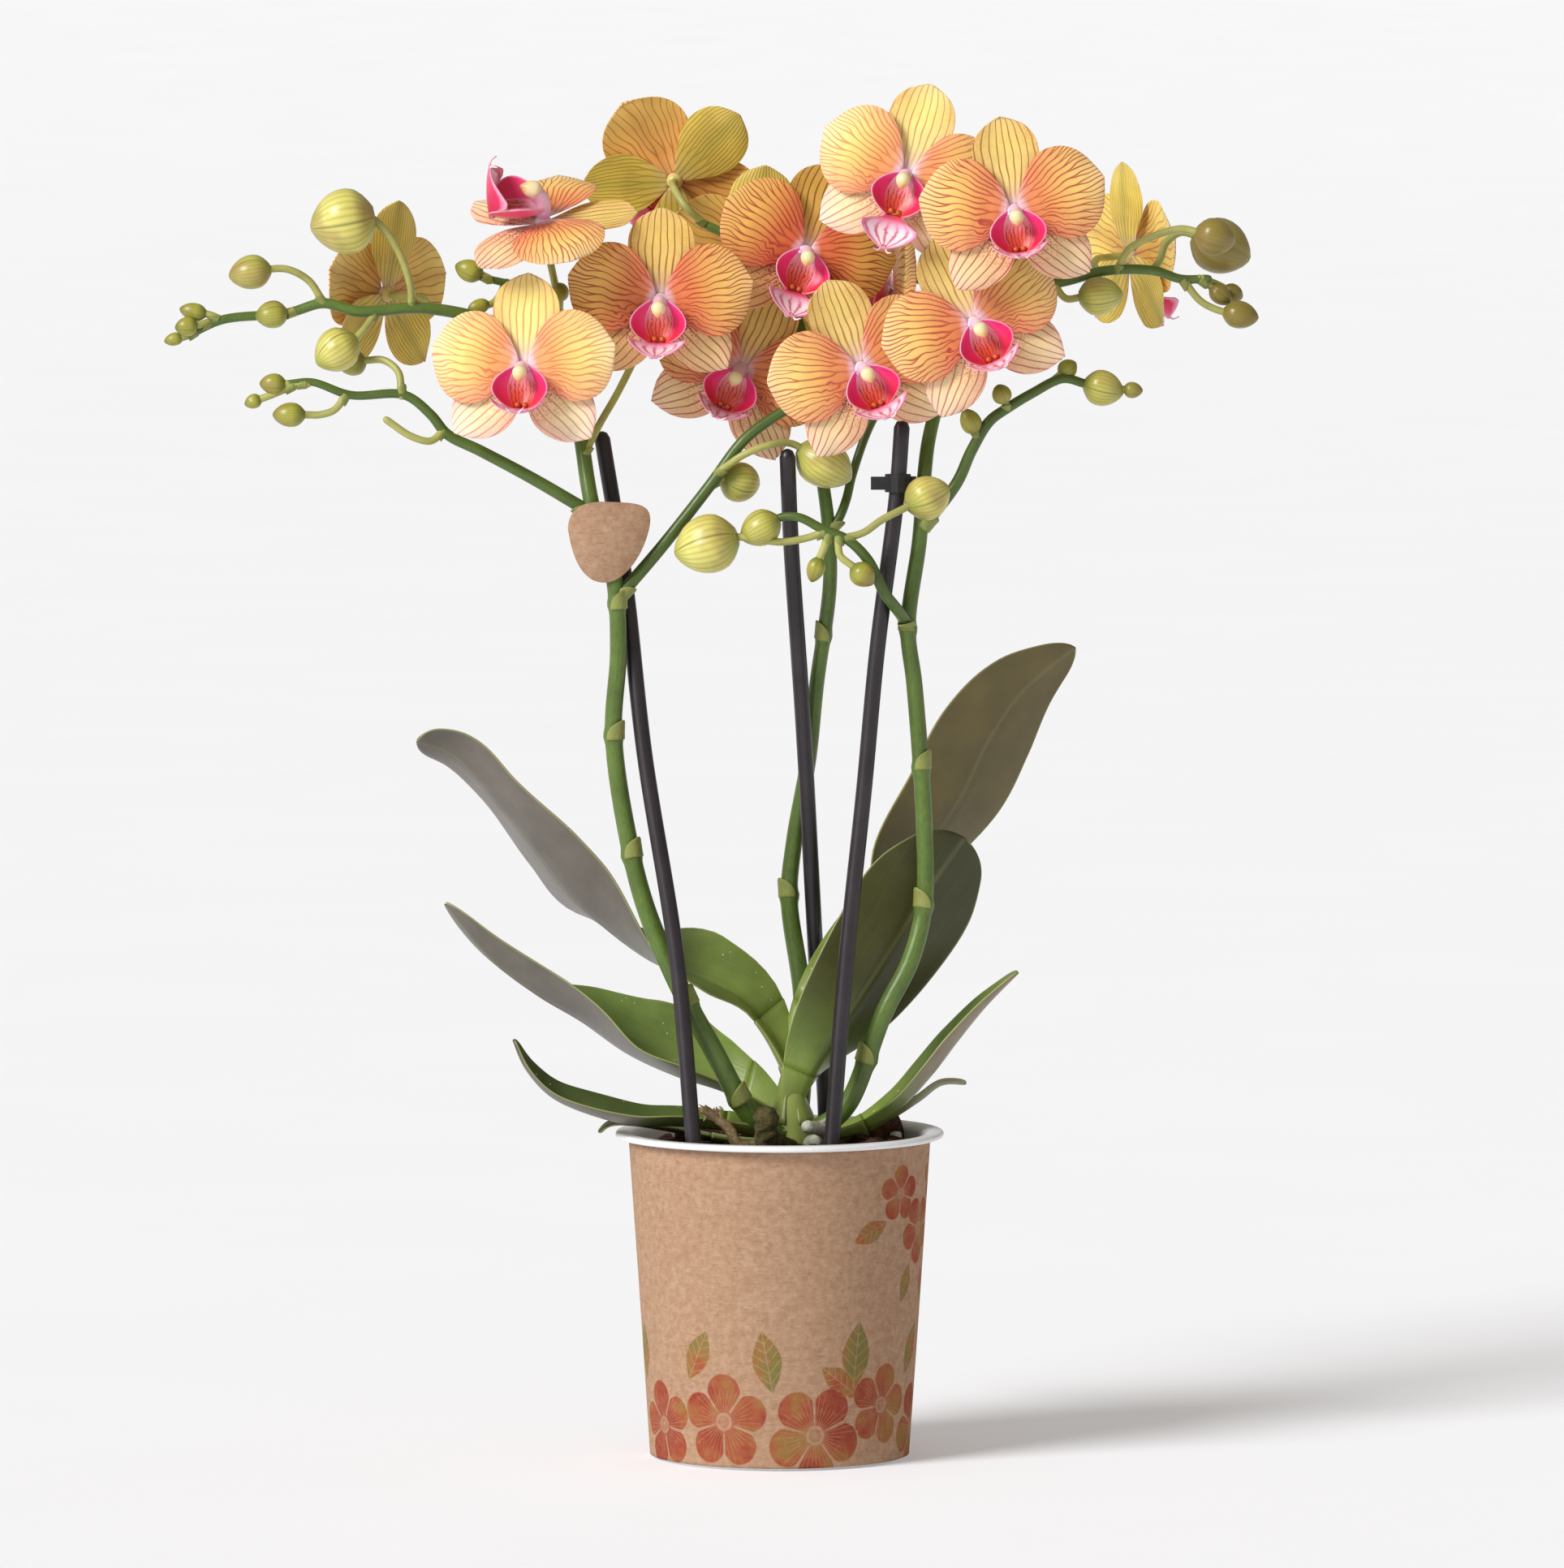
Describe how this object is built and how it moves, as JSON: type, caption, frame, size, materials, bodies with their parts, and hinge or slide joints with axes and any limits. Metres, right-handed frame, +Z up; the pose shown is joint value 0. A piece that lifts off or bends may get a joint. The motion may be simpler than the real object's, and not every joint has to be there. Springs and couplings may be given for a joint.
{
  "type": "potted moth orchid",
  "caption": "Moth orchid with yellow, rust-veined blooms on arching staked spikes above strap leaves, standing in a white nursery pot with a kraft paper sleeve.",
  "frame": {"origin": "middle of the pot's underside, on the surface it stands on", "axes": "+Z up along the pot's axis, +X to the right of the plant's front view, -Y towards its front"},
  "size_m": [0.336, 0.114, 0.4233],
  "materials": {
    "pot": "smooth white moulded plastic",
    "sleeve": "matt kraft paper with soft printed flowers",
    "mix": "moist dark brown bark, rough",
    "crown": "smooth waxy yellow-green leaf sheaths",
    "leaf": "waxy green above, grey-olive below, soft sheen",
    "stem": "smooth waxy green, buds paler",
    "stake": "dark brown-grey plastic with a satin sheen",
    "clip": "black moulded plastic",
    "petals": "soft matt yellow with fine rust-red veins",
    "lip": "soft magenta, white and orange towards the middle",
    "card": "matt kraft card"
  },
  "bodies": {
    "root": {"pot": "pot", "pot_sleeve": "sleeve", "bark_mix": "mix", "crown": "crown", "leaf_1": "leaf", "leaf_2": "leaf", "leaf_3": "leaf", "leaf_4": "leaf", "leaf_5": "leaf", "leaf_6": "leaf", "leaf_7": "leaf", "leaf_8": "leaf", "stake_left": "stake", "stake_middle": "stake", "stake_right": "stake", "spike_left": "stem", "spike_middle": "stem", "spike_right": "stem", "stem_clip": "clip", "tag": "card", "bloom_01_petals": "petals", "bloom_01_lip": "lip", "bloom_02_petals": "petals", "bloom_02_lip": "lip", "bloom_03_petals": "petals", "bloom_03_lip": "lip", "bloom_04_petals": "petals", "bloom_04_lip": "lip", "bloom_05_petals": "petals", "bloom_05_lip": "lip", "bloom_06_petals": "petals", "bloom_06_lip": "lip", "bloom_07_petals": "petals", "bloom_07_lip": "lip", "bloom_08_petals": "petals", "bloom_08_lip": "lip", "bloom_09_petals": "petals", "bloom_09_lip": "lip", "bloom_10_petals": "petals", "bloom_10_lip": "lip", "bloom_11_petals": "petals", "bloom_11_lip": "lip", "bloom_12_petals": "petals", "bloom_12_lip": "lip", "bloom_13_petals": "petals", "bloom_13_lip": "lip", "bloom_14_petals": "petals", "bloom_14_lip": "lip"}
  },
  "joints": []
}
